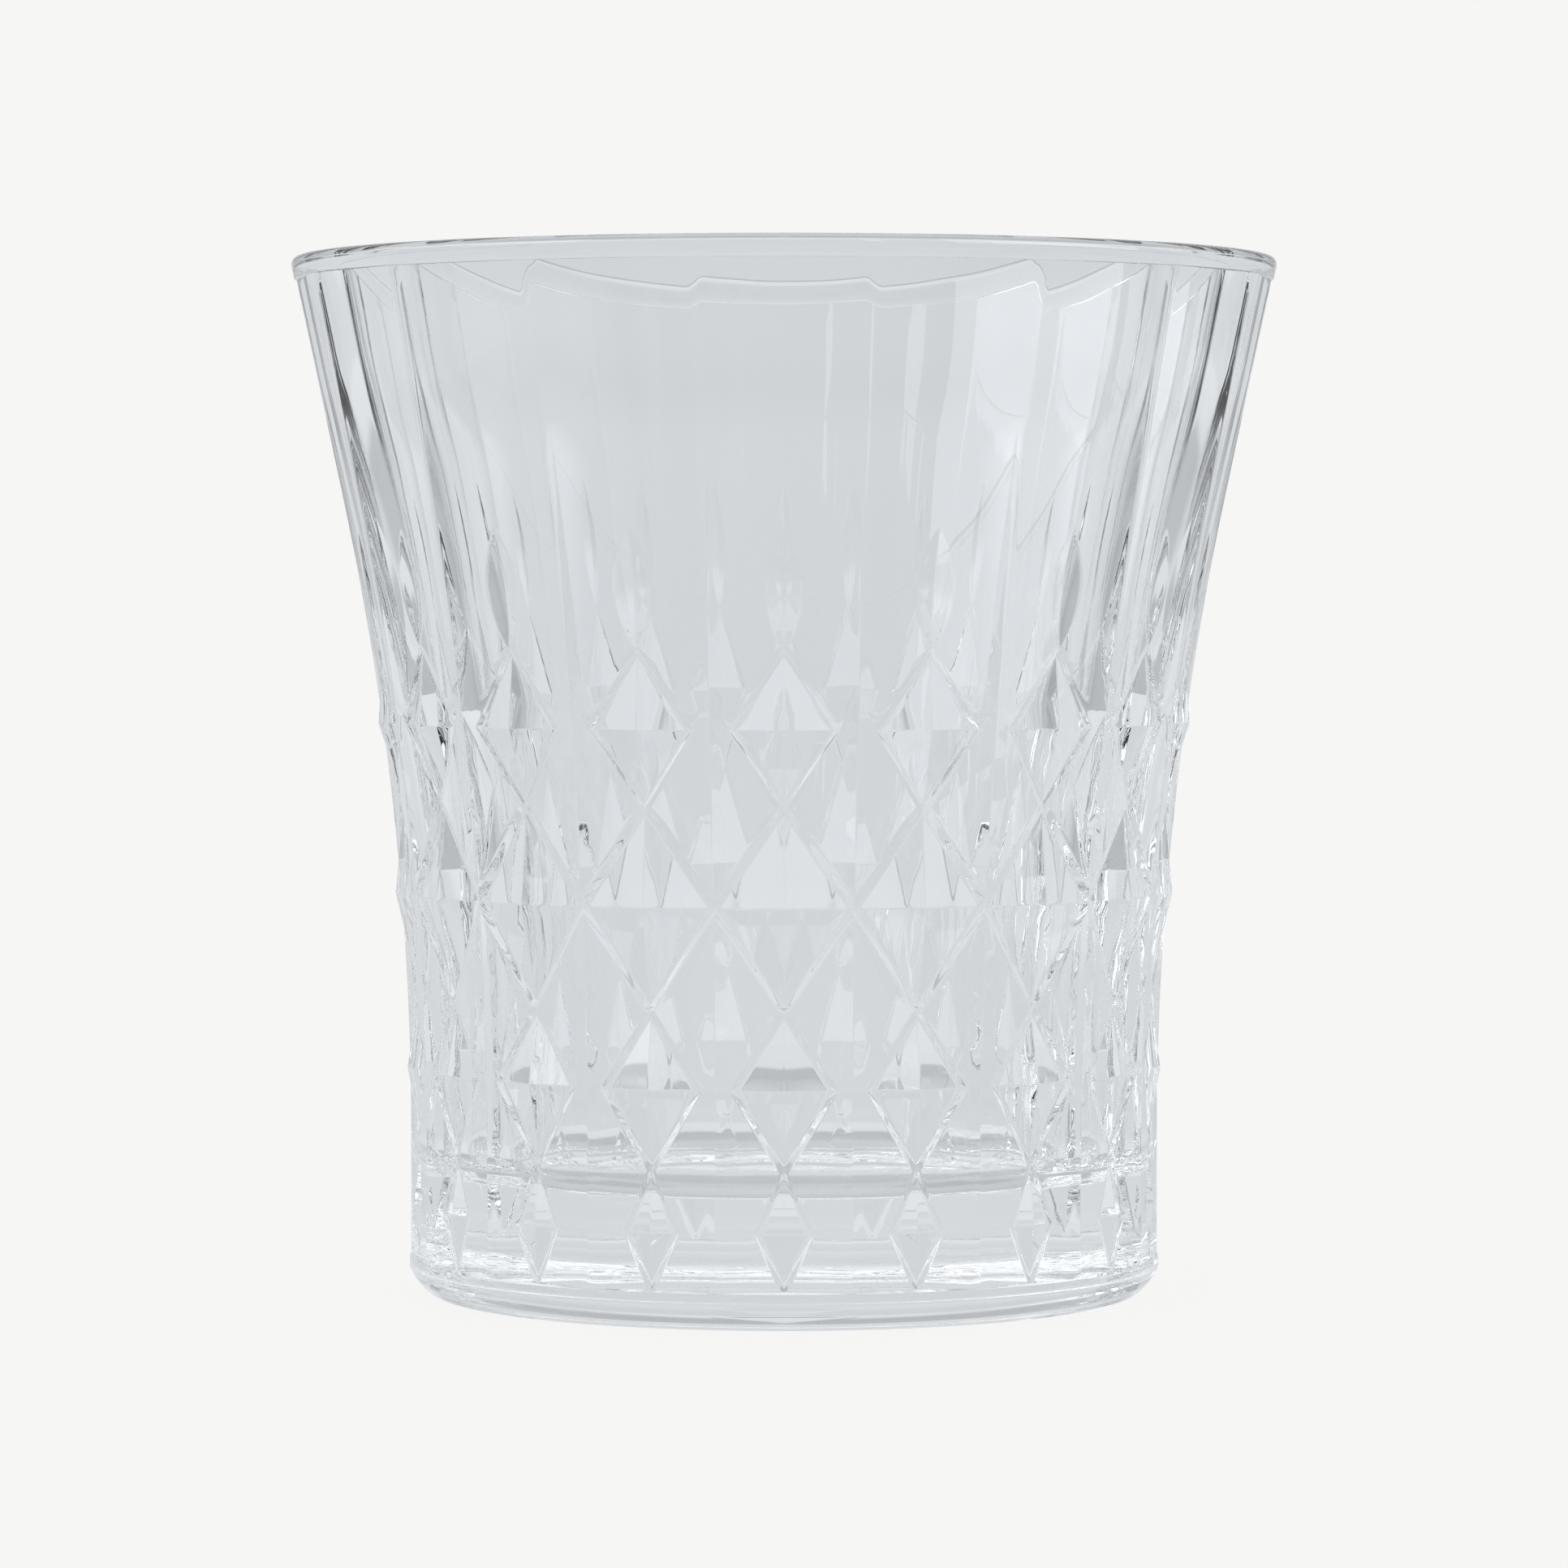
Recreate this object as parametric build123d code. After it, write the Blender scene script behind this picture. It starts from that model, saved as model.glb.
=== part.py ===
from build123d import *
import os
from math import asin, cos, radians, sin, tan

# ---------------------------------------------------------------------------
# A pressed-glass whiskey tumbler: one piece of glass with eighteen tall flat
# panels, a row of leaf cuts, three rows of diamonds sunk behind sloping
# gutters and a row of small kites above the foot band.  Origin: centre of the
# foot, on the table.  +Z is up and the middle of one panel faces -Y.  All
# lengths are in millimetres.
# ---------------------------------------------------------------------------

# Whole glass
total_height = 95.0
panel_count = 18

# Outside wall, as the distance from the axis to the flat of a panel
foot_distance = 33.9         # the lower wall stands straight
flare_start_height = 15.0    # here the wall begins to lean outwards
flare_end_height = 72.3      # above this the wall is straight again
flare_lean = 11.8            # lean of the upper wall, degrees from vertical

# Lip: the smooth round band above the panels, with a softly rounded crown
lip_height = 2.0
lip_underside_slope = 14.0   # under the lip, degrees down towards the glass
crown_outer_round = 0.65
crown_inner_round = 0.35

# Bore: the smooth round inside, which leaves a thick lower wall and a thin mouth
floor_thickness = 11.0
bore_foot_radius = 27.6
bore_flare_start_height = 20.0
bore_shoulder_depth = 19.0   # below the rim, where the bore leans the most
bore_shoulder_lean = 19.0
bore_mouth_depth = 8.0       # the mouth is straight down to this far below the rim
bore_mouth_lean = 11.4
bore_floor_round = 3.0

# Foot: a round band under the panels, a rounded corner and a flat ring to stand on
band_height = 3.8
band_top_slope = 18.0        # top of the band, degrees up towards the glass
band_stand_out = 0.05        # how far band and lip stand past the ridges
foot_corner_width = 2.2      # how far the rounded corner draws in
foot_corner_height = 2.5
foot_corner_bulge = 0.3      # how far the corner swells past a straight chamfer
foot_ring_width = 3.0
underside_hollow = 1.4       # rise of the hollow under the base

# Leaf cuts, one to a panel, made by a wheel with a V-shaped edge
leaf_top_height = 70.1
leaf_bottom_height = 59.4
leaf_half_width = 1.95
leaf_depth = 0.6

# Upper diamonds: corner heights and half width at the gutter, rise of the peak
# past the flat, width and depth of the gutter wall around them
upper_top_height = 59.0
upper_peak_height = 52.5
upper_bottom_height = 46.05
upper_half_width = 4.35
upper_peak_rise = 1.10
upper_gutter_width = 0.45
upper_gutter_depth = 0.25

# Middle diamonds, which nearly fill their panel
middle_top_height = 45.2
middle_peak_height = 37.0
middle_bottom_height = 28.5
middle_half_width = 5.75
middle_peak_rise = 1.20
middle_gutter_width = 0.70
middle_gutter_depth = 0.28

# Lower diamonds
lower_top_height = 27.4
lower_peak_height = 21.1
lower_bottom_height = 14.5
lower_half_width = 4.15
lower_peak_rise = 0.95
lower_gutter_width = 0.58
lower_gutter_depth = 0.25

# Kites, just above the foot band
kite_top_height = 13.5
kite_peak_height = 8.6
kite_bottom_height = 4.4
kite_half_width = 2.2
kite_peak_rise = 0.45
kite_gutter_width = 0.42
kite_gutter_depth = 0.18

# Room left around cutting bodies so that they pass clear of the glass
cutter_clearance = 0.6

panel_angle = 360.0 / panel_count
ridge_factor = 1.0 / cos(radians(panel_angle / 2))
panel_top_height = total_height - lip_height
bore_shoulder_height = total_height - bore_shoulder_depth
bore_mouth_height = total_height - bore_mouth_depth


def arc_travel(height, start, end, low_lean, high_lean):
    """How far a wall has moved outwards on an arc from one height and lean to another."""
    rise = min(max(height - start, 0), end - start)
    low_sine = sin(radians(low_lean))
    high_sine = sin(radians(high_lean))
    lean = asin(low_sine + (high_sine - low_sine) * rise / (end - start))
    return rise * tan((radians(low_lean) + lean) / 2)


def straight_travel(height, start, lean):
    return max(height - start, 0) * tan(radians(lean))


def panel_distance(height):
    bend = arc_travel(height, flare_start_height, flare_end_height, 0, flare_lean)
    return foot_distance + bend + straight_travel(height, flare_end_height, flare_lean)


def ridge_radius(height):
    return panel_distance(height) * ridge_factor


def bore_radius(height):
    flare = arc_travel(
        height, bore_flare_start_height, bore_shoulder_height, 0, bore_shoulder_lean
    )
    shoulder = arc_travel(
        height, bore_shoulder_height, bore_mouth_height, bore_shoulder_lean, bore_mouth_lean
    )
    mouth = straight_travel(height, bore_mouth_height, bore_mouth_lean)
    return bore_foot_radius + flare + shoulder + mouth


def wall_line(distance, bottom, bends, top):
    """A wall line in the XZ plane: an arc between each two bends, straight elsewhere."""
    edges = []
    if bottom < bends[0]:
        edges.append(Line((distance(bottom), 0, bottom), (distance(bends[0]), 0, bends[0])))
    for low, high in zip(bends, bends[1:]):
        start = max(low, bottom)
        halfway = (start + high) / 2
        edges.append(
            ThreePointArc(
                (distance(start), 0, start),
                (distance(halfway), 0, halfway),
                (distance(high), 0, high),
            )
        )
    edges.append(Line((distance(bends[-1]), 0, bends[-1]), (distance(top), 0, top)))
    return edges


def closed_face(edges, last, first):
    """Close a line of edges back to the axis and make a face of it."""
    end = edges[-1] @ 1
    start = edges[0] @ 0
    closing = Polyline(end, last, first, start)
    return Face(Wire(edges + closing.edges()))


def on_panel(across, height, rise=0.0):
    """A point on the panel that faces -Y, lifted off its flat by a rise."""
    return Vector(across, -panel_distance(height) - rise, height)


def blank_segment():
    """One plain segment of the glass: a flat panel between two ridges."""
    bends = (flare_start_height, flare_end_height)
    edges = wall_line(panel_distance, 0, bends, panel_top_height)
    side = closed_face(edges, (0, 0, panel_top_height), (0, 0, 0))
    reach = panel_distance(panel_top_height) * ridge_factor + cutter_clearance
    slab = extrude(side.rotate(Axis.Z, -90), amount=reach, both=True)
    half_width = reach * tan(radians(panel_angle / 2))
    plan = Polyline((0, 0), (-half_width, -reach), (half_width, -reach), close=True)
    wedge = extrude(make_face(plan), amount=panel_top_height)
    return slab & wedge


def diamond_corners(top, bottom, peak, half_width, depth):
    """The four corners of a diamond, on the line at the bottom of its gutter."""
    return [
        on_panel(0, top, -depth),
        on_panel(half_width, peak, -depth),
        on_panel(0, bottom, -depth),
        on_panel(-half_width, peak, -depth),
    ]


def pointed_faces(corners, tip):
    """Four triangles that rise or fall from the edges of a diamond to one tip."""
    faces = []
    for index in range(4):
        ring = [corners[index], corners[(index + 1) % 4], tip]
        faces.append(Face(Wire.make_polygon(ring)))
    return faces


def gutter_wall(start, end, width, depth):
    """The plane that slopes up from one edge of a diamond to the flat around it."""
    outward = Vector(0, -1, 0)
    aside = outward.cross(end - start).normalized()
    climb = aside * width + outward * depth
    return Plane(origin=start, z_dir=(end - start).cross(climb))


def diamond_pit(top, bottom, peak, half_width, width, depth):
    """The room taken out of a panel for one diamond and the gutter around it."""
    corners = diamond_corners(top, bottom, peak, half_width, depth)
    walls = []
    for index in range(4):
        walls.append(gutter_wall(corners[index], corners[(index + 1) % 4], width, depth))
    high = on_panel(0, top, cutter_clearance)
    low = on_panel(0, bottom, cutter_clearance)
    lid = Plane(origin=high, z_dir=Vector(1, 0, 0).cross(high - low))
    brim = [lid.intersect(walls[index - 1].intersect(walls[index])) for index in range(4)]
    faces = [Face(Wire.make_polygon(brim))]
    for index in range(4):
        following = (index + 1) % 4
        ring = [corners[index], corners[following], brim[following], brim[index]]
        faces.append(Face(Wire.make_polygon(ring)))
    floor_tip = on_panel(0, peak, -depth - cutter_clearance / 2)
    return Solid(Shell(faces + pointed_faces(corners, floor_tip)))


def diamond_block(top, bottom, peak, half_width, rise, depth):
    """A low pyramid that rises out of its pit, with its root sunk in the glass."""
    corners = diamond_corners(top, bottom, peak, half_width, depth)
    root = on_panel(0, peak, -depth - cutter_clearance)
    tip = on_panel(0, peak, rise)
    return Solid(Shell(pointed_faces(corners, tip) + pointed_faces(corners, root)))


def leaf_cutter():
    """The rim of a V-edged wheel, sunk in the panel to cut a pointed leaf."""
    low = on_panel(0, leaf_bottom_height)
    high = on_panel(0, leaf_top_height)
    span = (high - low).length
    wheel_radius = (span**2 / 4 + leaf_depth**2) / (2 * leaf_depth)
    edge_height = 2 * leaf_depth
    edge_half_width = leaf_half_width * edge_height / leaf_depth
    section = Polyline(
        (0, -wheel_radius),
        (edge_half_width, edge_height - wheel_radius),
        (-edge_half_width, edge_height - wheel_radius),
        close=True,
    )
    rim = revolve(make_face(section), Axis.X)
    along = (high - low).normalized()
    outward = Vector(1, 0, 0).cross(along)
    if outward.Y > 0:
        outward = outward * -1
    centre = (low + high) * 0.5 + outward * (wheel_radius - leaf_depth)
    return rim.moved(Location(Plane(origin=centre, x_dir=(1, 0, 0), z_dir=along)))


def patterned_segment():
    """One segment with its leaf cut and its diamonds standing in their gutters."""
    diamonds = [
        (upper_top_height, upper_bottom_height, upper_peak_height, upper_half_width,
         upper_peak_rise, upper_gutter_width, upper_gutter_depth),
        (middle_top_height, middle_bottom_height, middle_peak_height, middle_half_width,
         middle_peak_rise, middle_gutter_width, middle_gutter_depth),
        (lower_top_height, lower_bottom_height, lower_peak_height, lower_half_width,
         lower_peak_rise, lower_gutter_width, lower_gutter_depth),
        (kite_top_height, kite_bottom_height, kite_peak_height, kite_half_width,
         kite_peak_rise, kite_gutter_width, kite_gutter_depth),
    ]
    segment = blank_segment()
    for top, bottom, peak, half_width, rise, width, depth in diamonds:
        segment = segment - diamond_pit(top, bottom, peak, half_width, width, depth)
    for top, bottom, peak, half_width, rise, width, depth in diamonds:
        segment = segment + diamond_block(top, bottom, peak, half_width, rise, depth)
    return segment - leaf_cutter()


def lip_blank():
    """The smooth round lip as a full disc, sloping slightly underneath."""
    base = panel_top_height
    brim = ridge_radius(base) + band_stand_out
    overhang = brim - panel_distance(base) + cutter_clearance
    underside = base - overhang * tan(radians(lip_underside_slope))
    outline = Polyline(
        (0, 0, underside),
        (brim - overhang, 0, underside),
        (brim, 0, base),
        (ridge_radius(total_height) + band_stand_out, 0, total_height),
        (0, 0, total_height),
        close=True,
    )
    return revolve(make_face(outline), Axis.Z)


def foot_band():
    """The round band below the panels as a full disc, sloping slightly on top."""
    wall = ridge_radius(0) + band_stand_out
    overlap = wall - panel_distance(0) + cutter_clearance
    ledge = band_height + overlap * tan(radians(band_top_slope))
    outline = Polyline(
        (0, 0, 0),
        (wall, 0, 0),
        (wall, 0, band_height),
        (wall - overlap, 0, ledge),
        (0, 0, ledge),
        close=True,
    )
    return revolve(make_face(outline), Axis.Z)


def foot_corner_cutter():
    """The ring of glass that is missing outside the rounded foot corner."""
    wall = ridge_radius(0) + band_stand_out
    contact = wall - foot_corner_width
    run = Vector(foot_corner_width, 0, foot_corner_height)
    swell = Vector(foot_corner_height, 0, -foot_corner_width).normalized() * foot_corner_bulge
    middle = Vector(contact, 0, 0) + run * 0.5 + swell
    corner = ThreePointArc((contact, 0, 0), middle, (wall, 0, foot_corner_height))
    leave = corner % 1
    outside = (corner @ 1) + leave * (cutter_clearance / leave.X)
    rest = Polyline(
        (wall, 0, foot_corner_height),
        outside,
        (outside.X, 0, -cutter_clearance),
        (contact, 0, -cutter_clearance),
        (contact, 0, 0),
    )
    return revolve(Face(Wire([corner] + rest.edges())), Axis.Z)


def bore_cutter():
    """The smooth flared inside with its rounded floor corner."""
    corner_top = floor_thickness + bore_floor_round
    wall = bore_radius(corner_top)
    slack = bore_floor_round * (1 - sin(radians(45)))
    corner = ThreePointArc(
        (wall - bore_floor_round, 0, floor_thickness),
        (wall - slack, 0, floor_thickness + slack),
        (wall, 0, corner_top),
    )
    above = total_height + cutter_clearance
    bends = (bore_flare_start_height, bore_shoulder_height, bore_mouth_height)
    edges = [corner] + wall_line(bore_radius, corner_top, bends, above)
    return revolve(closed_face(edges, (0, 0, above), (0, 0, floor_thickness)), Axis.Z)


def underside_cutter():
    """The ball that leaves a shallow hollow inside the foot ring."""
    contact = ridge_radius(0) + band_stand_out - foot_corner_width
    hollow_radius = contact - foot_ring_width
    ball_radius = (hollow_radius**2 + underside_hollow**2) / (2 * underside_hollow)
    return Pos(0, 0, underside_hollow - ball_radius) * Sphere(ball_radius)


def crown_rounded(body):
    """Round the outer and the inner edge of the flat crown."""
    for place, rounding in ((-1, crown_outer_round), (0, crown_inner_round)):
        circles = body.edges().filter_by(GeomType.CIRCLE)
        brim = circles.filter_by_position(Axis.Z, total_height, total_height)
        body = fillet(brim.sort_by(SortBy.RADIUS)[place], rounding)
    return body


def glass_body():
    """The whole tumbler."""
    segment = patterned_segment()
    copies = [segment.rotate(Axis.Z, panel_angle * index) for index in range(panel_count)]
    body = copies[0].fuse(*copies[1:]) + lip_blank() + foot_band()
    body = body - foot_corner_cutter() - underside_cutter() - bore_cutter()
    return crown_rounded(body)


os.makedirs("parts", exist_ok=True)
glass = glass_body()
glass.label = "glass_body"
glass.color = Color(0.86, 0.89, 0.92, 0.35)
export_step(glass, "parts/glass_body.step")
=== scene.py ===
import itertools
import math
from collections import namedtuple

import bpy
import numpy as np
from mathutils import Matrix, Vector
from mathutils.geometry import delaunay_2d_cdt


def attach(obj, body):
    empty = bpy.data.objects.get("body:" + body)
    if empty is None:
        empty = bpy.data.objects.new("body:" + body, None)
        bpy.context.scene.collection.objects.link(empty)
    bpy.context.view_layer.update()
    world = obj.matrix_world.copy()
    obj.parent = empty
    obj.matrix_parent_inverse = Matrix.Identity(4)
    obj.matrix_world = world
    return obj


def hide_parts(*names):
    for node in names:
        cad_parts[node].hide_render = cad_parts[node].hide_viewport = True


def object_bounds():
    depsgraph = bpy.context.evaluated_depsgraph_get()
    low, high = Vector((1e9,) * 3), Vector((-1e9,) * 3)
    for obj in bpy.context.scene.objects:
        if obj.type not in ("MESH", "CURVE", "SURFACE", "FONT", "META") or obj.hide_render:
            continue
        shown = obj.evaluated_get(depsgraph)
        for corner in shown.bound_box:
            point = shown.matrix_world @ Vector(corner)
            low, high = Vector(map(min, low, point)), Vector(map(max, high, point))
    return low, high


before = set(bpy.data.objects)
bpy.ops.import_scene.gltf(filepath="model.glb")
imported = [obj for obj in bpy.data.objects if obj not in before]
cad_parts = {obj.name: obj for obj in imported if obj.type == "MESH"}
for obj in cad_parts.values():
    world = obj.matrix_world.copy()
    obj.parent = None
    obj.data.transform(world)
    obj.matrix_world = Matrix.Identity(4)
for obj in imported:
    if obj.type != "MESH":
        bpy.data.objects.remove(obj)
cad_box = [list(corner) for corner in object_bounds()]

# ---------------------------------------------------------------------------
# The glass, in millimetres in the part's own frame: foot on z = 0, one panel facing -Y.
# ---------------------------------------------------------------------------
HEIGHT = 95.0
MM = (cad_box[1][2] - cad_box[0][2]) / HEIGHT
PANELS = 18
HALF = math.pi / PANELS           # bearing from a panel's middle to its ridge

# outer wall: a panel's distance from the axis at the foot, and the arc that carries it outwards
FOOT = 33.90
FLARE_START, FLARE_END, LEAN = 15.0, 72.3, math.radians(11.8)
RIDGE_SHARP = 0.04                # blending of the ridges beside the diamonds
RIDGE_BLEND = 0.16                # how much more they melt between the tall upper flats
BLEND_START, BLEND_RISE = 58.0, 16.0
SOFT = 0.11                       # rounding of every moulded edge

# lip, with the roundings of its crown, and foot band
LIP, CROWN_OUTER, CROWN_INNER = 2.0, 0.65, 0.42
CROWN_DEPTH = 5.0                 # the mouth is straight this far down
PANEL_TOP = HEIGHT - LIP
LIP_SLOPE = math.tan(math.radians(0.5))
BAND, BAND_SLOPE = 3.4, math.tan(math.radians(18.0))
PROUD = 0.05                      # lip and foot band stand this far past the ridges
LEDGE_ROUND, LEDGE_REACH = 0.10, 0.5        # rounding of both ledges, and how far in they are drawn

# bore: straight at the foot, leaning the most at the steep height, easing to the mouth
FLOOR = 11.0
BORE_FOOT, BORE_ROUND = 27.6, 3.0
BORE_START, BORE_STEEP, BORE_END = 20, 76, 87
BORE_STEEP_LEAN, BORE_LEAN = math.radians(19), math.radians(11.4)

# underside: rounded foot corner, flat ring and shallow hollow
CORNER_W, CORNER_H, CORNER_BULGE = 2.2, 2.5, 0.30
RING_W, HOLLOW = 3.0, 1.4

# sunk diamonds of one panel: top, bottom and height of the peak, half width at the
# gutter, rise of the peak, width of the sloping wall round it, depth of the gutter
Diamond = namedtuple("Diamond", "top bottom peak half rise wall deep")
DIAMONDS = [
    Diamond(59.0, 46.05, 52.5, 4.35, 1.10, 0.45, 0.25),
    Diamond(45.2, 28.5, 37.0, 5.75, 1.20, 0.70, 0.28),
    Diamond(27.4, 14.5, 21.1, 4.15, 0.95, 0.58, 0.25),
    Diamond(13.5, 4.0, 8.6, 2.20, 0.45, 0.42, 0.18),
]
GUTTER_PAST, GUTTER_IN = 1.5, 0.5           # how far a gutter reaches past its ends and inwards

# leaf cut above them: part of a large round wheel, pointed at both ends
LEAF_TOP, LEAF_LOW, LEAF_W, LEAF_DEPTH = 70.1, 59.4, 1.95, 0.6
LEAF_MID, LEAF_HALF = (LEAF_TOP + LEAF_LOW) / 2, (LEAF_TOP - LEAF_LOW) / 2
LEAF_R = (LEAF_HALF ** 2 + LEAF_DEPTH ** 2) / (2 * LEAF_DEPTH)

# fineness of the mesh
LEVELS = 48                       # steps up a ridge
SPREAD = 1.7                      # height between rows of spots on the flats
BEARING_STEPS = 6
BEARINGS = [HALF * k / BEARING_STEPS for k in range(BEARING_STEPS + 1)]
FLOOR_RINGS, HOLLOW_RINGS = (23.0, 18.5, 12.5, 6.0), (27.0, 23.0, 18.0, 12.0, 6.0)
WELD = 2e-3                       # points about this close are one

# glass
REFRACTION = 1.52
TINT_LOW, TINT_HIGH = (0.976, 0.983, 0.990, 1), (0.984, 0.989, 0.994, 1)
CLOUDS, POLISH, RIPPLES = 22.0, 160.0, 95.0         # noise per metre
ROUGHNESS = 0.008                 # where the polish is softest
RIPPLE_STRENGTH, RIPPLE_DEPTH = 0.05, 0.0006

# studio: brightness of the air all round, by degrees above the horizon
BRIGHTNESS = [
    (-90, 0.60), (-34, 0.58), (-26, 0.48), (-18.5, 0.50),           # table close to the glass
    (-16, 0.76), (-9, 0.81), (-8.2, 0.79), (-7.2, 0.72),            # table up to its far edge
    (-1.5, 0.69), (3, 0.71), (6, 0.75), (12, 0.67), (25, 0.70),     # wall
    (40, 0.87), (90, 0.95),                                         # ceiling
]
AIR_COLOR = (0.945, 0.973, 1.0, 1)
SIDE = 0.02                       # how much brighter the left is than the middle, and darker the right
FLANK = 0.08                      # how much brighter the front and the sides are than the wall behind
# from bearing to bearing, counted to the left from the camera, from height to height,
# softness of the edges, all in degrees, and the brightness added
AREAS = [
    (49.0, 112.0, 8.6, 36.9, 0.4, 1.9),             # window
    (-105.0, -48.0, 8.0, 40.0, 6.0, 0.35),          # pale wall on the right
    (40.0, 110.0, -60.0, 0.0, 6.0, -0.12),          # shade under the window
    (-110.0, -40.0, -60.0, 0.0, 6.0, -0.12),        # shade under the pale wall
]

# sweep and lamp, in metres: the paper's own even glow, and how little of the lamp it returns
PAPER_GLOW, PAPER = (0.905, 0.905, 0.888, 1), (0.02, 0.02, 0.02, 1)
SWEEP_FLAT, SWEEP_BEND, SWEEP_TOP, SWEEP_SIDES = 1.6, 0.8, 3.2, 96
SWEEP_DROP = 0.0002               # gap between the foot and the paper
LAMP_HEIGHT, LAMP_FORWARD, LAMP_SIZE, LAMP_WATTS, LAMP_AIM = 1.5, 0.25, 1.2, 2.0, 0.05

# camera: distance and height in millimetres, tilt in degrees, lens in millimetres
CAMERA_AWAY, CAMERA_HEIGHT, CAMERA_TILT = 583.9, 65.6, 1.85
SENSOR, LENS = 36.0, 145.58385


def bend(z, start, end, low_lean, high_lean):
    """How far an arc between two heights has carried a wall outwards at each z."""
    rise = np.clip(z - start, 0, end - start)
    radius = (end - start) / (math.sin(high_lean) - math.sin(low_lean))
    lean = np.arcsin(math.sin(low_lean) + rise / radius)
    return radius * (math.cos(low_lean) - np.cos(lean))


def flat(z):
    """Distance of a plain panel from the axis, square to the panel."""
    z = np.asarray(z, float)
    curve = bend(z, FLARE_START, FLARE_END, 0.0, LEAN)
    return FOOT + curve + np.clip(z - FLARE_END, 0, None) * math.tan(LEAN)


def ridge(z):
    """Distance of a ridge between two panels from the axis."""
    return flat(z) / math.cos(HALF)


def half_width(z):
    """From the middle of a panel to its ridge."""
    return float(flat(z)) * math.tan(HALF)


def bore(z):
    """Radius of the bore."""
    z = np.asarray(z, float)
    low = bend(z, BORE_START, BORE_STEEP, 0.0, BORE_STEEP_LEAN)
    high = bend(z, BORE_STEEP, BORE_END, BORE_STEEP_LEAN, BORE_LEAN)
    return BORE_FOOT + low + high + np.clip(z - BORE_END, 0, None) * math.tan(BORE_LEAN)


def leaf_width(u):
    """Half width of the leaf cut, u above or below its middle."""
    return (LEAF_R - math.hypot(LEAF_R - LEAF_DEPTH, u)) * LEAF_W / LEAF_DEPTH


Gutter = namedtuple("Gutter", "start side along away length wall deep")


def gutters():
    """The straight gutters of half a panel, from a diamond's tip to its side corner."""
    found = []
    for diamond in DIAMONDS:
        for end in (diamond.top, diamond.bottom):
            start, side = np.array((0.0, end)), np.array((diamond.half, diamond.peak))
            run = side - start
            length = float(np.hypot(*run))
            along = run / length
            away = np.array((abs(along[1]), math.copysign(along[0], end - diamond.peak)))
            found.append(Gutter(start, side, along, away, length, diamond.wall, diamond.deep))
    return found


GUTTERS = gutters()


def smoothstep(t):
    """From nought to one, easing in and out."""
    t = np.clip(t, 0, 1)
    return t * t * (3 - 2 * t)


def gutter_cut(gutter, x, z):
    """Bottom and outward wall of a gutter, and where it is cut."""
    dx, dz = x - gutter.start[0], z - gutter.start[1]
    t = dx * gutter.along[0] + dz * gutter.along[1]
    off = dx * gutter.away[0] + dz * gutter.away[1]
    over = np.maximum(np.maximum(-t, t - gutter.length), 0)
    k = np.clip(t / gutter.length, 0, 1)
    a, b = float(flat(gutter.start[1])), float(flat(gutter.side[1]))
    bottom = a + (b - a) * k - gutter.deep
    cut = bottom + gutter.deep / gutter.wall * np.hypot(np.maximum(off, 0), over)
    return cut, (over < GUTTER_PAST) & (off > -GUTTER_IN)


def diamond_face(diamond, x, z):
    """Low four-sided point of a diamond, and where it stands."""
    far = np.where(z > diamond.peak, diamond.top, diamond.bottom)
    a, b = x / diamond.half, (z - diamond.peak) / (far - diamond.peak)
    low, mid = flat(far) - diamond.deep, float(flat(diamond.peak))
    face = (1 - a - b) * (mid + diamond.rise) + a * (mid - diamond.deep) + b * low
    return face, a + b < 1


def leaf_cut(x, z):
    """Hollow of the leaf, and where it is cut."""
    reach = LEAF_R - x * LEAF_DEPTH / LEAF_W
    inside = reach ** 2 - (z - LEAF_MID) ** 2
    k = (z - LEAF_LOW) / (LEAF_TOP - LEAF_LOW)
    chord = float(flat(LEAF_LOW)) * (1 - k) + float(flat(LEAF_TOP)) * k
    cut = chord - np.sqrt(np.clip(inside, 0, None)) + (LEAF_R - LEAF_DEPTH)
    return cut, (inside > 0) & (z > LEAF_LOW - 0.5) & (z < LEAF_TOP + 0.5) & (reach > 0)


def raw_distance(x, z):
    """How far the outer surface stands from the axis, measured square to a panel."""
    x = np.abs(x)
    base = flat(z)
    edge = base * math.tan(HALF)
    past = np.clip(x - edge, 0, None)          # here the next panel falls away
    x = np.where(x > edge, 2 * edge - x, x)
    blend = RIDGE_SHARP + RIDGE_BLEND * smoothstep((z - BLEND_START) / BLEND_RISE)
    near = np.clip(blend - (edge - x) * math.tan(2 * HALF), 0, None) / blend
    d = base - near ** 2 * blend / 4
    for gutter in GUTTERS:
        cut, here = gutter_cut(gutter, x, z)
        d = np.where(here, np.minimum(d, cut), d)
    for diamond in DIAMONDS:
        face, here = diamond_face(diamond, x, z)
        d = np.where(here, face, d)
    cut, here = leaf_cut(x, z)
    d = np.where(here, np.minimum(d, cut), d)
    return d - past * math.tan(2 * HALF)


# where the surface is measured to soften its edges: at the spot and in two rings round it
KERNEL = [(0.0, 0.0)] + [
    (s * SOFT * math.cos(math.tau * (i + 0.5) / n), s * SOFT * math.sin(math.tau * (i + 0.5) / n))
    for s, n in ((0.55, 8), (1.0, 12))
    for i in range(n)
]


def distance(x, z):
    """The outer surface with its edges softened, as a press mould leaves them."""
    return sum(raw_distance(x + dx, z + dz) for dx, dz in KERNEL) / len(KERNEL)


def on_panel(x, z):
    """Panel spots to points in space; the spot's bearing is kept."""
    d = distance(x, z)
    return np.stack((x * d / flat(z), -d, z), axis=-1)


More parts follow.
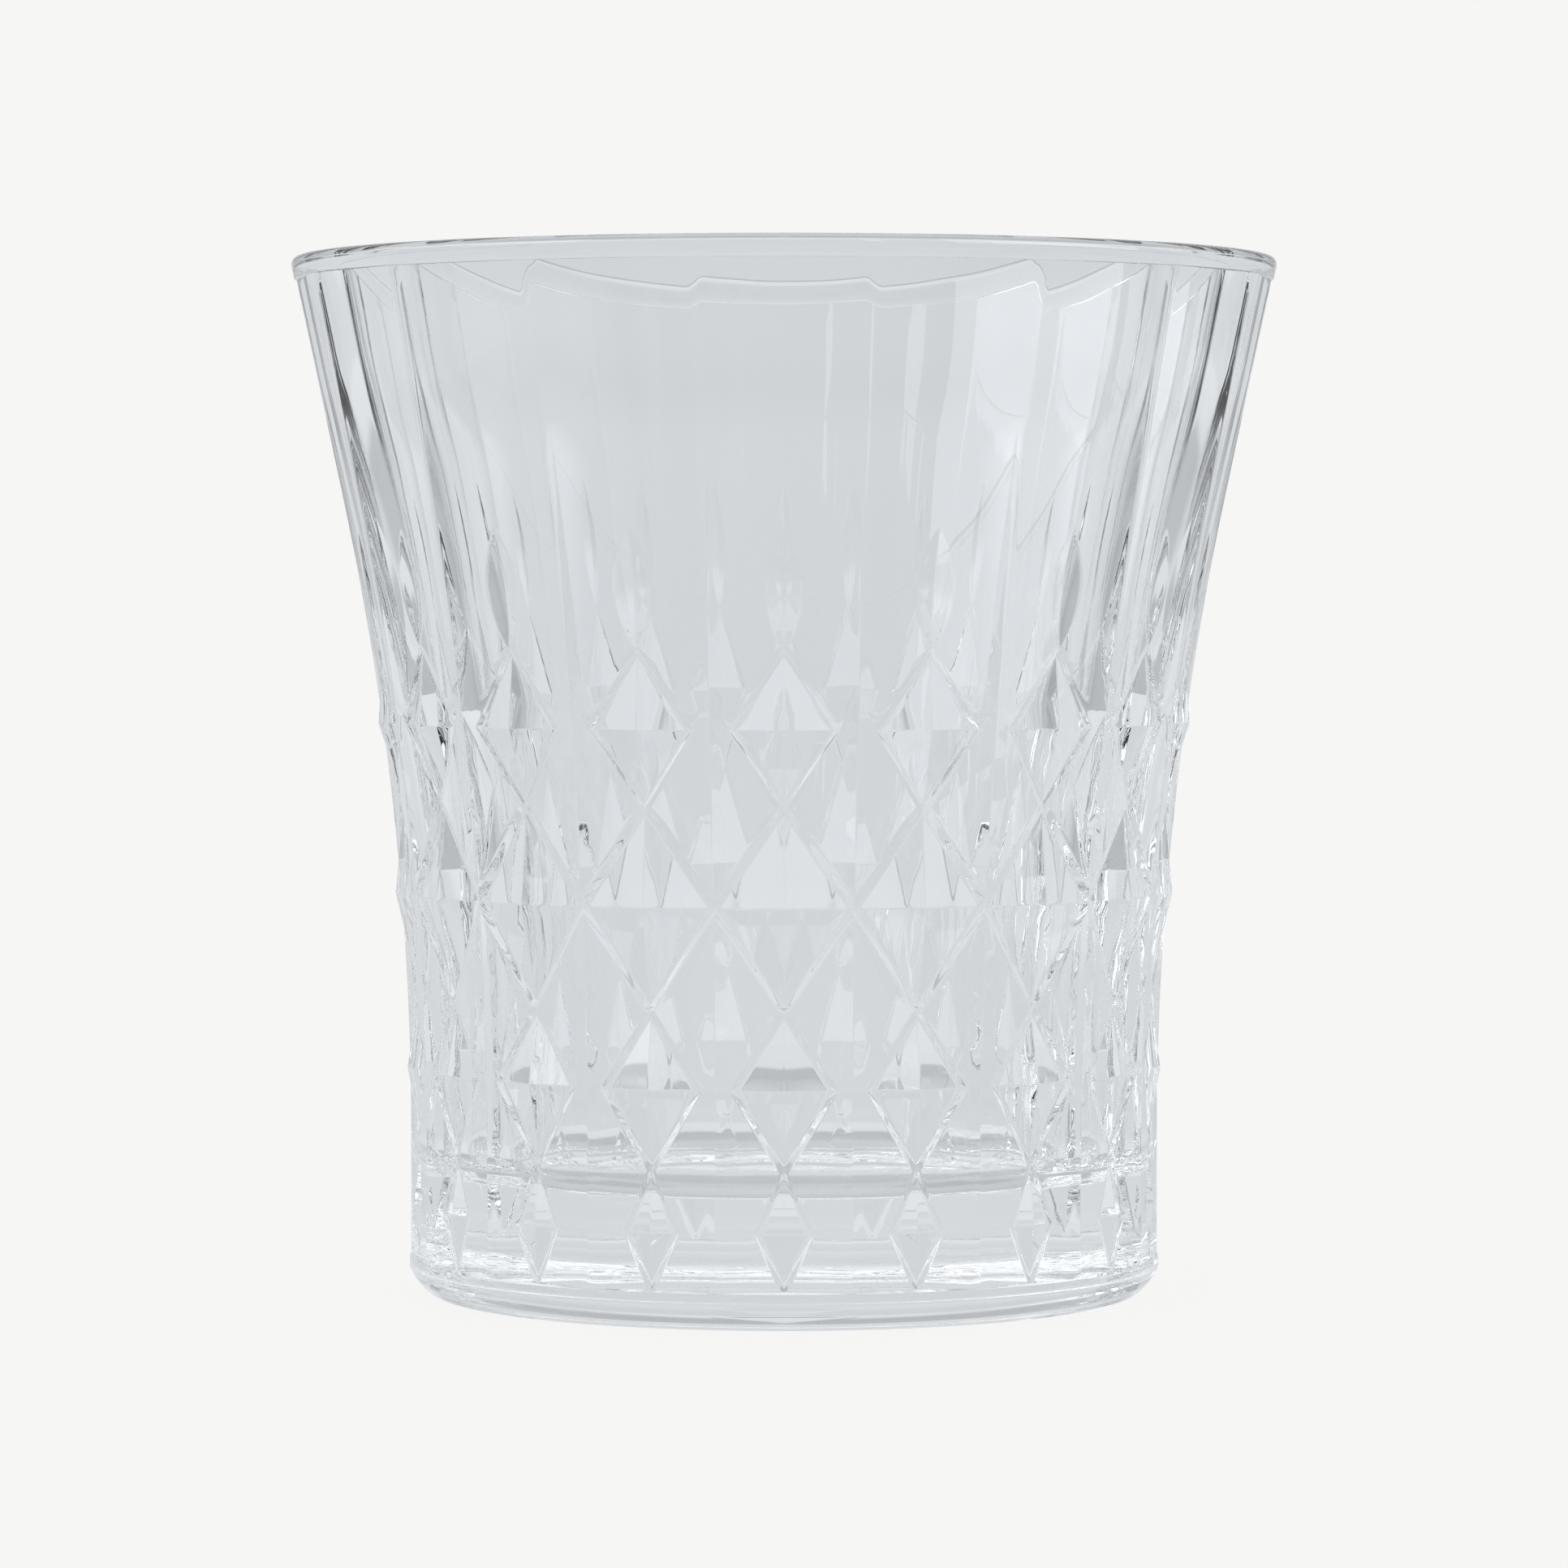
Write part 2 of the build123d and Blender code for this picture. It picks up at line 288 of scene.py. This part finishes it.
def panel_normals(x, z, step=0.02):
    """Outward normals at panel spots, from small steps to both sides."""
    du = on_panel(x + step, z) - on_panel(x - step, z)
    dv = on_panel(x, z + step) - on_panel(x, z - step)
    n = np.cross(du, dv)
    return n / np.linalg.norm(n, axis=1)[:, None]


# --- outline of half a panel -------------------------------------------------

CONTACT = float(ridge(0)) + PROUD - CORNER_W         # outer radius of the ring it stands on


def corner_point(t):
    """The rounded foot corner: t = 0 on the table, t = 1 on the ridge."""
    swell = 4 * t * (1 - t) * CORNER_BULGE / math.hypot(CORNER_W, CORNER_H)
    return CONTACT + CORNER_W * t + swell * CORNER_H, CORNER_H * t - swell * CORNER_W


def ledge_edge(base, slope):
    """Where a ledge that slopes inwards from a ridge meets half a panel, as panel spots."""
    edge = []
    for bearing in BEARINGS:
        z = base
        for _ in range(6):
            spot = np.array([flat(z) * math.tan(bearing)]), np.array([z])
            r = float(distance(*spot)[0]) / math.cos(bearing)
            z = base + (float(ridge(base)) - r) * slope
        edge.append((float(flat(z)) * math.tan(bearing), z))
    return edge


foot_edge = ledge_edge(BAND, BAND_SLOPE)
lip_edge = ledge_edge(PANEL_TOP, -LIP_SLOPE)


def side_levels():
    """Heights of the spots along a ridge and along a panel's middle line."""
    bottom, top = foot_edge[-1][1], lip_edge[-1][1]
    return [bottom + (top - bottom) * k / LEVELS for k in range(1, LEVELS)]


def crease_lines():
    """Every moulded edge of half a panel, with a line on each side of its rounding."""
    lines = []
    roundings = (-SOFT, 0.0, SOFT)
    for gutter in GUTTERS:
        before, after = gutter.along * 0.3, gutter.along * 0.05
        for off in (0.0, gutter.wall):
            for soft in roundings:
                move = gutter.away * (off + soft)
                lines.append([gutter.start + move - before, gutter.side + move + after])
        turn = math.atan2(gutter.away[1], gutter.away[0])
        for soft in roundings:
            bow = [(math.cos(turn * k / 4), math.sin(turn * k / 4)) for k in range(5)]
            lines.append([gutter.side + (gutter.wall + soft) * np.array(way) for way in bow])
    for diamond in DIAMONDS:
        for soft in roundings:
            height = diamond.peak + soft
            lines.append([np.array((0.0, height)), np.array((diamond.half - 0.5, height))])
    for soft in roundings:
        heights = [LEAF_HALF * math.cos(math.pi * k / 16) for k in range(17)]
        lines.append([np.array((leaf_width(u) + soft, LEAF_MID + u)) for u in heights])
    low, high = foot_edge[0][1] + 0.3, lip_edge[0][1] - 0.3
    lines.append([np.array((SOFT, z)) for z in np.linspace(low, high, 2 * LEVELS)])
    levels = side_levels()
    lines.append([np.array((half_width(z) - SOFT, z)) for z in levels])
    tall = [z for z in levels if z > BLEND_START + 3.0]
    for inset in (0.4, 0.75, 1.1, 1.5):
        lines.append([np.array((half_width(z) - inset, z)) for z in tall])
    return lines


def clipped(line, low):
    """The part of a line that stays above a height."""
    kept = []
    for i, p in enumerate(line):
        if i and (p[1] - low) * (line[i - 1][1] - low) < 0:
            q = line[i - 1]
            kept.append(q + (p - q) * (low - q[1]) / (p[1] - q[1]))
        if p[1] >= low:
            kept.append(p)
    return kept


def on_half_panel(x, z):
    """Whether a spot lies between the middle line and the ridge, foot band and lip."""
    if x < 0.0 or x > half_width(z):
        return False
    low = np.interp(x, [p[0] for p in foot_edge], [p[1] for p in foot_edge])
    high = np.interp(x, [p[0] for p in lip_edge], [p[1] for p in lip_edge])
    return low < z < high


def half_panel():
    """Triangles that cover half a panel, from its middle line to its ridge."""
    points, edges = [], []

    def add(x, z):
        points.append(Vector((float(x), float(z))))
        return len(points) - 1

    levels = side_levels()
    loop = [add(*p) for p in foot_edge]
    loop += [add(half_width(z), z) for z in levels]
    loop += [add(*p) for p in reversed(lip_edge)]
    loop += [add(0.0, z) for z in reversed(levels)]
    edges += [(loop[i], loop[(i + 1) % len(loop)]) for i in range(len(loop))]

    for line in crease_lines():
        previous = None
        for p in clipped(line, BAND + 0.3):
            spot = add(*p)
            if previous is not None:
                edges.append((previous, spot))
            previous = spot
    # more spots: beside the ledges, in rows over the panel and inside the leaf
    for offset in (0.25, 0.6):
        for line, sign in ((foot_edge, 1), (lip_edge, -1)):
            for p in line[1:-1]:
                add(p[0], p[1] + sign * offset)
    for i, z in enumerate(np.arange(5.0, PANEL_TOP - 1.0, SPREAD)):
        for k in range(1, 6):
            add(half_width(z) * (k - 0.25 + 0.5 * (i % 2)) / 6, z)
    for u in np.linspace(-0.85, 0.85, 12) * LEAF_HALF:
        for k in (0.35, 0.7):
            add(leaf_width(u) * k, LEAF_MID + u)

    found, _, tris, _, _, _ = delaunay_2d_cdt(points, edges, [], 0, 2 * WELD)
    kept = []
    for tri in tris:
        middle = [sum(found[i][axis] for i in tri) / 3 for axis in (0, 1)]
        if on_half_panel(*middle):
            kept.append(list(tri))
    used = sorted({i for tri in kept for i in tri})
    number = {old: new for new, old in enumerate(used)}
    spots = np.array([(found[i][0], found[i][1]) for i in used])
    # spots on the middle line and on the ridge lie on them exactly
    width = flat(spots[:, 1]) * math.tan(HALF)
    spots[:, 0] = np.where(np.abs(spots[:, 0]) < WELD, 0.0, spots[:, 0])
    spots[:, 0] = np.where(np.abs(spots[:, 0] - width) < WELD, width, spots[:, 0])
    return spots, [[number[i] for i in tri] for tri in kept]


# --- the turned surfaces: lip, bore, floor, foot and hollow --------------------

def arc(centre_r, centre_z, radius, start, end, count):
    """Points of a profile along an arc between two angles in degrees."""
    turns = [math.radians(start + (end - start) * k / count) for k in range(count + 1)]
    return [(centre_r + radius * math.cos(a), centre_z + radius * math.sin(a)) for a in turns]


def rounded(path, radius, index, count):
    """Round one corner of a path of (r, z) points."""
    p, a, b = (np.array(path[i], float) for i in (index, index - 1, index + 1))
    u, v = (a - p) / np.linalg.norm(a - p), (b - p) / np.linalg.norm(b - p)
    half = math.acos(float(np.clip(np.dot(u, v), -1, 1))) / 2
    reach = radius / math.tan(half)
    centre = p + (u + v) / np.linalg.norm(u + v) * radius / math.sin(half)
    first, last = p + u * reach - centre, p + v * reach - centre
    sweep = math.pi - 2 * half
    points = []
    for k in range(count + 1):
        t = sweep * k / count
        w = (math.sin(sweep - t) * first + math.sin(t) * last) / math.sin(sweep)
        points.append(tuple(centre + w))
    return points


def inner_profile():
    """From under the lip, over the crown and down the bore to the floor's middle."""
    outer_low = (float(ridge(PANEL_TOP)) + PROUD, PANEL_TOP)
    outer_top = (float(ridge(HEIGHT)) + PROUD, HEIGHT)
    inner_top = (float(bore(HEIGHT)), HEIGHT)
    under = (outer_low[0] - LEDGE_REACH, PANEL_TOP - LEDGE_REACH * LIP_SLOPE)
    low = HEIGHT - CROWN_DEPTH
    below = (float(bore(low)), low)
    path = [under, outer_low, outer_top, inner_top, below]
    line = rounded(path, LEDGE_ROUND, 1, 3)
    line += rounded(path, CROWN_OUTER, 2, 10)
    line += rounded(path, CROWN_INNER, 3, 8)
    upper = np.linspace(low, BORE_STEEP, 16)[:-1]
    lower = np.linspace(BORE_STEEP, FLOOR + BORE_ROUND, 33)[:-1]
    line += [(float(bore(z)), float(z)) for z in (*upper, *lower)]
    line += arc(BORE_FOOT - BORE_ROUND, FLOOR + BORE_ROUND, BORE_ROUND, 0, -90, 10)
    line += [(r, FLOOR) for r in FLOOR_RINGS]
    return line


def under_profile():
    """From the top of the foot band, round the foot corner, in to the middle of the hollow."""
    out = float(ridge(0)) + PROUD
    path = [(out - LEDGE_REACH, BAND + LEDGE_REACH * BAND_SLOPE), (out, BAND), (out, CORNER_H)]
    band = rounded(path, LEDGE_ROUND, 1, 3) + [(out, BAND - 0.6), (out, CORNER_H + 0.1)]
    band += [corner_point(t) for t in (0.96, 0.8, 0.6, 0.4, 0.2, 0.05)]
    # rings close to both sides of an edge keep its shading crisp
    hollow = CONTACT - RING_W
    ball = (hollow ** 2 + HOLLOW ** 2) / (2 * HOLLOW)
    line = band + [(CONTACT - 0.12, 0.0), (CONTACT - 1.0, 0.0), (hollow + 0.5, 0.0), (hollow + 0.08, 0.0)]
    for r in (hollow - 0.25, *HOLLOW_RINGS):
        line.append((r, math.sqrt(ball ** 2 - r ** 2) - (ball - HOLLOW)))
    return line


def profile_normals(line, end):
    """Outward normals of a turned profile that is walked with the glass on its right."""
    points = np.array(line + [end], float)
    steps = np.diff(points, axis=0)
    steps /= np.linalg.norm(steps, axis=1)[:, None]
    sums = np.vstack((steps[:1], steps[:-1] + steps[1:]))
    sums /= np.linalg.norm(sums, axis=1)[:, None]
    return sums


class Mesh:
    """Points with their normals, and the faces between them."""

    def __init__(self):
        self.points, self.normals, self.faces = [], [], []

    def add(self, point, normal):
        self.points.append(point)
        self.normals.append(normal)
        return len(self.points) - 1


def turned(mesh, columns, first_ring, first_normals, line, centre, up):
    """Join a ring of points to a turned profile and close it at the middle."""
    normals = profile_normals(line, centre)
    turn = 1.0 if up else -1.0
    previous = [mesh.add(p, n) for p, n in zip(first_ring, first_normals)]
    count = len(columns)
    # one extra ring, a tenth of the way in, keeps the shading of the ledge off the panels
    steps = [(line[0], normals[0], 0.9)] + [(spot, normal, 0.0) for spot, normal in zip(line, normals)]
    for (r, z), (tr, tz), back in steps:
        ring = []
        for i, b in enumerate(columns):
            nr, nz = tz * turn, -tr * turn
            spot = np.array((r * math.sin(b), -r * math.cos(b), z))
            spot += (np.array(first_ring[i]) - spot) * back
            ring.append(mesh.add(tuple(spot), (nr * math.sin(b), -nr * math.cos(b), nz)))
        for i in range(count):
            j = (i + 1) % count
            mesh.faces.append((previous[i], previous[j], ring[j], ring[i]) if up else
                              (previous[i], ring[i], ring[j], previous[j]))
        previous = ring
    tip = mesh.add((0.0, 0.0, centre[1]), (0.0, 0.0, 1.0 if up else -1.0))
    for i in range(count):
        j = (i + 1) % count
        mesh.faces.append((previous[i], previous[j], tip) if up else (previous[i], tip, previous[j]))


def placed(p, turn, sign=1):
    """A point or normal of the first panel, mirrored or not, turned to another panel."""
    c, s = math.cos(turn), math.sin(turn)
    x = p[0] * sign
    return x * c - p[1] * s, x * s + p[1] * c, p[2]


def build_glass():
    """The whole glass: eighteen panels, then the turned surfaces inside and below them."""
    spots, tris = half_panel()
    x, z = spots[:, 0], spots[:, 1]
    points, normals = on_panel(x, z), panel_normals(x, z)
    mesh = Mesh()
    for k in range(PANELS):
        for flip in (1, -1):
            start = len(mesh.points)
            for p, n in zip(points, normals):
                mesh.add(placed(p, 2 * HALF * k, flip), placed(n, 2 * HALF * k, flip))
            for tri in tris:
                ring = tri if flip == 1 else tri[::-1]
                mesh.faces.append(tuple(start + i for i in ring))
    middles = [2 * HALF * k for k in range(PANELS)]
    both_sides = [side * b for b in BEARINGS for side in (1, -1)]
    columns = sorted({round(middle + b, 9) for middle in middles for b in both_sides})
    columns = [b for b in columns if -HALF - 1e-6 < b < math.tau - HALF - 1e-6]

    nearest = []
    for b in columns:
        bearing = abs((b + HALF) % (2 * HALF) - HALF)
        nearest.append(min(range(len(BEARINGS)), key=lambda i: abs(BEARINGS[i] - bearing)))

    def edge_ring(edge):
        """The edge of a ledge all round the panels, with the panels' own normals."""
        spots = np.array(edge)
        points = on_panel(spots[:, 0], spots[:, 1])
        slants = panel_normals(spots[:, 0], spots[:, 1])
        ring, norms = [], []
        for b, near in zip(columns, nearest):
            p, n = points[near], slants[near]
            r = math.hypot(p[0], p[1])
            ring.append((r * math.sin(b), -r * math.cos(b), p[2]))
            turn = 2 * HALF * round(b / (2 * HALF))
            norms.append(placed(n, turn, 1 if b >= turn else -1))
        return ring, norms

    top_ring, top_normals = edge_ring(lip_edge)
    turned(mesh, columns, top_ring, top_normals, inner_profile(), (0.0, FLOOR), True)

    low_ring, low_normals = edge_ring(foot_edge)
    turned(mesh, columns, low_ring, low_normals, under_profile(), (0.0, HOLLOW), False)
    return mesh


def merged(mesh):
    """Weld shared points, average their normals and drop collapsed faces."""
    points = np.array(mesh.points)
    normals = np.array(mesh.normals)
    cells = {}
    number = np.zeros(len(points), int)
    around = list(itertools.product((0, -1, 1), repeat=3))

    def twin(i, cell):
        for move in around:
            other = cells.get(tuple(c + m for c, m in zip(cell, move)))
            if other is not None and np.abs(points[other] - points[i]).max() < WELD / 2:
                return other
        cells[cell] = i
        return i

    for i, cell in enumerate(map(tuple, np.round(points / WELD).astype(int))):
        number[i] = twin(i, cell)
    total = np.zeros_like(normals)
    np.add.at(total, number, normals)
    used = np.unique(number)
    place = np.zeros(len(points), int)
    place[used] = np.arange(len(used))
    faces = []
    for face in mesh.faces:
        ring = []
        for i in face:
            j = int(place[number[i]])
            if j not in ring:
                ring.append(j)
        if len(ring) > 2:
            faces.append(ring)
    total = total[used]
    total /= np.linalg.norm(total, axis=1)[:, None]
    return points[used], total, faces


def glass_object():
    """The glass as one smooth-shaded object, in metres."""
    points, normals, faces = merged(build_glass())
    data = bpy.data.meshes.new("glass_body_look")
    data.from_pydata([tuple(p * MM) for p in points], [], faces)
    data.update()
    data.polygons.foreach_set("use_smooth", [True] * len(data.polygons))
    data.normals_split_custom_set_from_vertices([tuple(n) for n in normals])
    look = bpy.data.objects.new("glass_body_look", data)
    bpy.context.scene.collection.objects.link(look)
    return look


glass = glass_object()


# --- material ------------------------------------------------------------------

def glass_material():
    """Clear pressed glass: a cool tint, a fine ripple and a slightly soft polish."""
    mat = bpy.data.materials.new("clear_glass_look")
    mat.use_nodes = True
    tree = mat.node_tree
    nodes, links = tree.nodes, tree.links
    shader = nodes["Principled BSDF"]
    shader.inputs["Transmission Weight"].default_value = 1.0
    shader.inputs["IOR"].default_value = REFRACTION
    place = nodes.new("ShaderNodeTexCoord")

    def noise(scale, detail):
        node = nodes.new("ShaderNodeTexNoise")
        node.inputs["Scale"].default_value = scale
        node.inputs["Detail"].default_value = detail
        links.new(place.outputs["Object"], node.inputs["Vector"])
        return node.outputs["Fac"]

    tint = nodes.new("ShaderNodeValToRGB")
    for stop, position, color in zip(tint.color_ramp.elements, (0.3, 0.7), (TINT_LOW, TINT_HIGH)):
        stop.position = position
        stop.color = color
    links.new(noise(CLOUDS, 2.0), tint.inputs["Fac"])
    links.new(tint.outputs["Color"], shader.inputs["Base Color"])

    rough = nodes.new("ShaderNodeMapRange")
    rough.inputs["From Min"].default_value = 0.35
    rough.inputs["From Max"].default_value = 0.75
    rough.inputs["To Min"].default_value = 0.0
    rough.inputs["To Max"].default_value = ROUGHNESS
    links.new(noise(POLISH, 3.0), rough.inputs["Value"])
    links.new(rough.outputs["Result"], shader.inputs["Roughness"])

    bump = nodes.new("ShaderNodeBump")
    bump.inputs["Strength"].default_value = RIPPLE_STRENGTH
    bump.inputs["Distance"].default_value = RIPPLE_DEPTH
    links.new(noise(RIPPLES, 1.0), bump.inputs["Height"])
    links.new(bump.outputs["Normal"], shader.inputs["Normal"])
    return mat


glass.data.materials.append(glass_material())
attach(glass, "root")
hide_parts("glass_body")


# --- studio ----------------------------------------------------------------------

def sweep_material():
    """A pale paper sweep, lit so evenly that floor and wall run together."""
    mat = bpy.data.materials.new("pale_sweep")
    mat.use_nodes = True
    nodes, links = mat.node_tree.nodes, mat.node_tree.links
    nodes.clear()
    emit = nodes.new("ShaderNodeEmission")
    emit.inputs["Color"].default_value = PAPER_GLOW
    emit.inputs["Strength"].default_value = 1.0
    paper = nodes.new("ShaderNodeBsdfDiffuse")
    paper.inputs["Color"].default_value = PAPER
    both = nodes.new("ShaderNodeAddShader")
    out = nodes.new("ShaderNodeOutputMaterial")
    links.new(emit.outputs[0], both.inputs[0])
    links.new(paper.outputs[0], both.inputs[1])
    links.new(both.outputs[0], out.inputs[0])
    return mat


def sweep():
    """Floor that curves up into a wall, all round and far from the glass."""
    line = [(r, 0.0) for r in (0.05, 0.3, 0.8)]
    line += [(SWEEP_FLAT + r, SWEEP_BEND + z) for r, z in arc(0.0, 0.0, SWEEP_BEND, -90, 0, 16)]
    line.append((SWEEP_FLAT + SWEEP_BEND, SWEEP_TOP))
    around = SWEEP_SIDES
    turns = [math.tau * k / around for k in range(around)]
    points = [(r * math.cos(a), r * math.sin(a), z - SWEEP_DROP) for r, z in line for a in turns]
    faces = [list(range(around))]
    for row in range(len(line) - 1):
        for k in range(around):
            a, b = row * around + k, row * around + (k + 1) % around
            faces.append((b, a, a + around, b + around))
    data = bpy.data.meshes.new("pale_sweep")
    data.from_pydata(points, [], faces)
    data.polygons.foreach_set("use_smooth", [True] * len(data.polygons))
    data.materials.append(sweep_material())
    obj = bpy.data.objects.new("pale_sweep", data)
    bpy.context.scene.collection.objects.link(obj)
    # the glass mirrors and refracts the studio air instead of the paper
    obj.visible_transmission = False
    obj.visible_glossy = False
    obj.visible_diffuse = False


def top_light():
    """A large soft lamp over the glass, a little in front of it."""
    data = bpy.data.lights.new("top_light", "AREA")
    data.shape = "RECTANGLE"
    data.size = data.size_y = LAMP_SIZE
    data.energy = LAMP_WATTS
    light = bpy.data.objects.new("top_light", data)
    light.location = (0.0, -LAMP_FORWARD, LAMP_HEIGHT)
    way = Vector((0, 0, LAMP_AIM)) - light.location
    light.rotation_euler = way.to_track_quat("-Z", "Y").to_euler()
    bpy.context.scene.collection.objects.link(light)


def studio_world():
    """Soft studio air: a pale table up to its far edge, a grey wall, a light ceiling, a window."""
    world = bpy.data.worlds.new("studio_air")
    world.use_nodes = True
    nodes, links = world.node_tree.nodes, world.node_tree.links
    back = nodes["Background"]
    place = nodes.new("ShaderNodeTexCoord")
    split = nodes.new("ShaderNodeSeparateXYZ")
    links.new(place.outputs["Generated"], split.inputs[0])

    def ramp(source, low, high, a, b):
        node = nodes.new("ShaderNodeMapRange")
        node.interpolation_type = "SMOOTHSTEP"
        for name, value in (("From Min", low), ("From Max", high), ("To Min", a), ("To Max", b)):
            node.inputs[name].default_value = value
        links.new(source, node.inputs["Value"])
        return node.outputs["Result"]

    def maths(kind, a, b=0.0):
        node = nodes.new("ShaderNodeMath")
        node.operation = kind
        for slot, value in zip(node.inputs, (a, b)):
            if isinstance(value, (int, float)):
                slot.default_value = value
            else:
                links.new(value, slot)
        return node.outputs[0]

    def between(source, low, high, soft):
        """One between two angles in degrees, nought outside them, with soft edges."""
        rise = ramp(source, math.radians(low - soft), math.radians(low + soft), 0.0, 1.0)
        fall = ramp(source, math.radians(high - soft), math.radians(high + soft), 1.0, 0.0)
        return maths("MULTIPLY", rise, fall)

    x, y, z = split.outputs
    elevation = maths("ARCSINE", z)
    bearing = maths("ARCTAN2", maths("MULTIPLY", x, -1.0), maths("MULTIPLY", y, -1.0))

    levels = nodes.new("ShaderNodeValToRGB")
    stops = levels.color_ramp.elements
    while len(stops) < len(BRIGHTNESS):
        stops.new(0.5)
    for stop, (degrees, value) in zip(stops, BRIGHTNESS):
        stop.position = (degrees + 90.0) / 180.0
        stop.color = (value, value, value, 1)
    links.new(maths("ADD", maths("DIVIDE", elevation, math.pi), 0.5), levels.inputs["Fac"])

    tilt = maths("SUBTRACT", 1.0, maths("MULTIPLY", x, SIDE))
    light = maths("MULTIPLY", levels.outputs["Color"], tilt)
    # the flanks fade out from beside the glass to straight behind it
    light = maths("MULTIPLY", light, ramp(y, -0.2, 0.97, 1.0 + FLANK, 1.0))
    for left, right, low, high, soft, gain in AREAS:
        area = maths("MULTIPLY", between(bearing, left, right, soft), between(elevation, low, high, soft))
        light = maths("ADD", light, maths("MULTIPLY", area, gain))
    links.new(light, back.inputs["Strength"])
    back.inputs["Color"].default_value = AIR_COLOR
    bpy.context.scene.world = world


sweep()
top_light()
studio_world()


# --- camera ----------------------------------------------------------------------

def main_camera():
    """A long lens at two thirds of the glass's height, looking slightly down."""
    data = bpy.data.cameras.new("camera")
    data.sensor_width = SENSOR
    data.lens = LENS
    data.clip_end = 50.0
    camera = bpy.data.objects.new("camera", data)
    camera.location = (0.0, -CAMERA_AWAY * MM, CAMERA_HEIGHT * MM)
    camera.rotation_euler = (math.radians(90.0 - CAMERA_TILT), 0.0, 0.0)
    bpy.context.scene.collection.objects.link(camera)
    return camera


bpy.context.scene.camera = main_camera()
scene = bpy.context.scene
scene.view_settings.view_transform = "Standard"
scene.cycles.max_bounces = 32
scene.cycles.transmission_bounces = 32
scene.cycles.glossy_bounces = 12
scene.cycles.transparent_max_bounces = 16
